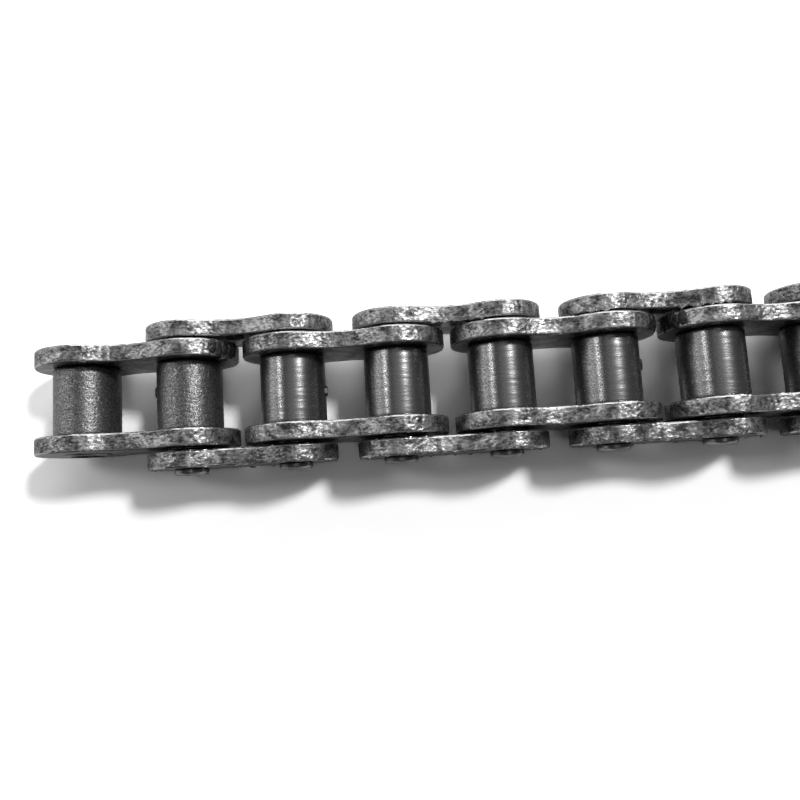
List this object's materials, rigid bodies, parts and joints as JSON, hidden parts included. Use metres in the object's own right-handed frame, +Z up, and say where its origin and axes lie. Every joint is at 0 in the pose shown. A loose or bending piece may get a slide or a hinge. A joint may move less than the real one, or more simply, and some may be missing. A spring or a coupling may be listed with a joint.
{
  "type": "roller chain strand",
  "caption": "Strand of single-row steel roller chain: waisted link plates, riveted pins, bushes and free rollers, open inner links at both ends.",
  "frame": {"origin": "middle of the strand, on the surface that the inner plates' edges stand on", "axes": "+X along the strand, +Y along the pins, +Z up from the surface"},
  "size_m": [0.1896, 0.0284, 0.0181],
  "materials": {
    "plate_steel": "punched and hardened steel, tumbled, mid-grey with a thin oil film",
    "roller_steel": "dark hardened steel with fine turned rings",
    "bush_steel": "ground case-hardened steel",
    "pin_steel": "ground steel, ends riveted over"
  },
  "bodies": {
    "inner_link_1": {"inner_link_1_front_plate": "plate_steel", "inner_link_1_back_plate": "plate_steel", "bush_01": "bush_steel", "bush_02": "bush_steel"},
    "inner_link_2": {"inner_link_2_front_plate": "plate_steel", "inner_link_2_back_plate": "plate_steel", "bush_03": "bush_steel", "bush_04": "bush_steel"},
    "inner_link_3": {"inner_link_3_front_plate": "plate_steel", "inner_link_3_back_plate": "plate_steel", "bush_05": "bush_steel", "bush_06": "bush_steel"},
    "inner_link_4": {"inner_link_4_front_plate": "plate_steel", "inner_link_4_back_plate": "plate_steel", "bush_07": "bush_steel", "bush_08": "bush_steel"},
    "inner_link_5": {"inner_link_5_front_plate": "plate_steel", "inner_link_5_back_plate": "plate_steel", "bush_09": "bush_steel", "bush_10": "bush_steel"},
    "outer_link_1": {"outer_link_1_front_plate": "plate_steel", "outer_link_1_back_plate": "plate_steel", "pin_02": "pin_steel", "pin_03": "pin_steel"},
    "outer_link_2": {"outer_link_2_front_plate": "plate_steel", "outer_link_2_back_plate": "plate_steel", "pin_04": "pin_steel", "pin_05": "pin_steel"},
    "outer_link_3": {"outer_link_3_front_plate": "plate_steel", "outer_link_3_back_plate": "plate_steel", "pin_06": "pin_steel", "pin_07": "pin_steel"},
    "outer_link_4": {"outer_link_4_front_plate": "plate_steel", "outer_link_4_back_plate": "plate_steel", "pin_08": "pin_steel", "pin_09": "pin_steel"},
    "roller_01": {"roller_01": "roller_steel"},
    "roller_02": {"roller_02": "roller_steel"},
    "roller_03": {"roller_03": "roller_steel"},
    "roller_04": {"roller_04": "roller_steel"},
    "roller_05": {"roller_05": "roller_steel"},
    "roller_06": {"roller_06": "roller_steel"},
    "roller_07": {"roller_07": "roller_steel"},
    "roller_08": {"roller_08": "roller_steel"},
    "roller_09": {"roller_09": "roller_steel"},
    "roller_10": {"roller_10": "roller_steel"}
  },
  "joints": [
    {"name": "link_hinge_06", "type": "hinge", "parent": "inner_link_3", "child": "outer_link_3", "pos_m": [0.00953, 0, 0.00905], "axis": [0, 1, 0], "range_deg": [-115, 115]},
    {"name": "link_hinge_07", "type": "hinge", "parent": "outer_link_3", "child": "inner_link_4", "pos_m": [0.02857, 0, 0.00905], "axis": [0, -1, 0], "range_deg": [-115, 115]},
    {"name": "link_hinge_08", "type": "hinge", "parent": "inner_link_4", "child": "outer_link_4", "pos_m": [0.04763, 0, 0.00905], "axis": [0, 1, 0], "range_deg": [-115, 115]},
    {"name": "link_hinge_09", "type": "hinge", "parent": "outer_link_4", "child": "inner_link_5", "pos_m": [0.06667, 0, 0.00905], "axis": [0, -1, 0], "range_deg": [-115, 115]},
    {"name": "link_hinge_05", "type": "hinge", "parent": "inner_link_3", "child": "outer_link_2", "pos_m": [-0.00953, 0, 0.00905], "axis": [0, 1, 0], "range_deg": [-115, 115]},
    {"name": "link_hinge_04", "type": "hinge", "parent": "outer_link_2", "child": "inner_link_2", "pos_m": [-0.02857, 0, 0.00905], "axis": [0, -1, 0], "range_deg": [-115, 115]},
    {"name": "link_hinge_03", "type": "hinge", "parent": "inner_link_2", "child": "outer_link_1", "pos_m": [-0.04763, 0, 0.00905], "axis": [0, 1, 0], "range_deg": [-115, 115]},
    {"name": "link_hinge_02", "type": "hinge", "parent": "outer_link_1", "child": "inner_link_1", "pos_m": [-0.06667, 0, 0.00905], "axis": [0, -1, 0], "range_deg": [-115, 115]},
    {"name": "roller_spin_01", "type": "hinge", "parent": "inner_link_1", "child": "roller_01", "pos_m": [-0.08572, 0, 0.00905], "axis": [0, 1, 0], "continuous": true},
    {"name": "roller_spin_02", "type": "hinge", "parent": "inner_link_1", "child": "roller_02", "pos_m": [-0.06667, 0, 0.00905], "axis": [0, 1, 0], "continuous": true},
    {"name": "roller_spin_03", "type": "hinge", "parent": "inner_link_2", "child": "roller_03", "pos_m": [-0.04763, 0, 0.00905], "axis": [0, 1, 0], "continuous": true},
    {"name": "roller_spin_04", "type": "hinge", "parent": "inner_link_2", "child": "roller_04", "pos_m": [-0.02857, 0, 0.00905], "axis": [0, 1, 0], "continuous": true},
    {"name": "roller_spin_05", "type": "hinge", "parent": "inner_link_3", "child": "roller_05", "pos_m": [-0.00953, 0, 0.00905], "axis": [0, 1, 0], "continuous": true},
    {"name": "roller_spin_06", "type": "hinge", "parent": "inner_link_3", "child": "roller_06", "pos_m": [0.00953, 0, 0.00905], "axis": [0, 1, 0], "continuous": true},
    {"name": "roller_spin_07", "type": "hinge", "parent": "inner_link_4", "child": "roller_07", "pos_m": [0.02857, 0, 0.00905], "axis": [0, 1, 0], "continuous": true},
    {"name": "roller_spin_08", "type": "hinge", "parent": "inner_link_4", "child": "roller_08", "pos_m": [0.04763, 0, 0.00905], "axis": [0, 1, 0], "continuous": true},
    {"name": "roller_spin_09", "type": "hinge", "parent": "inner_link_5", "child": "roller_09", "pos_m": [0.06667, 0, 0.00905], "axis": [0, 1, 0], "continuous": true},
    {"name": "roller_spin_10", "type": "hinge", "parent": "inner_link_5", "child": "roller_10", "pos_m": [0.08572, 0, 0.00905], "axis": [0, 1, 0], "continuous": true}
  ]
}
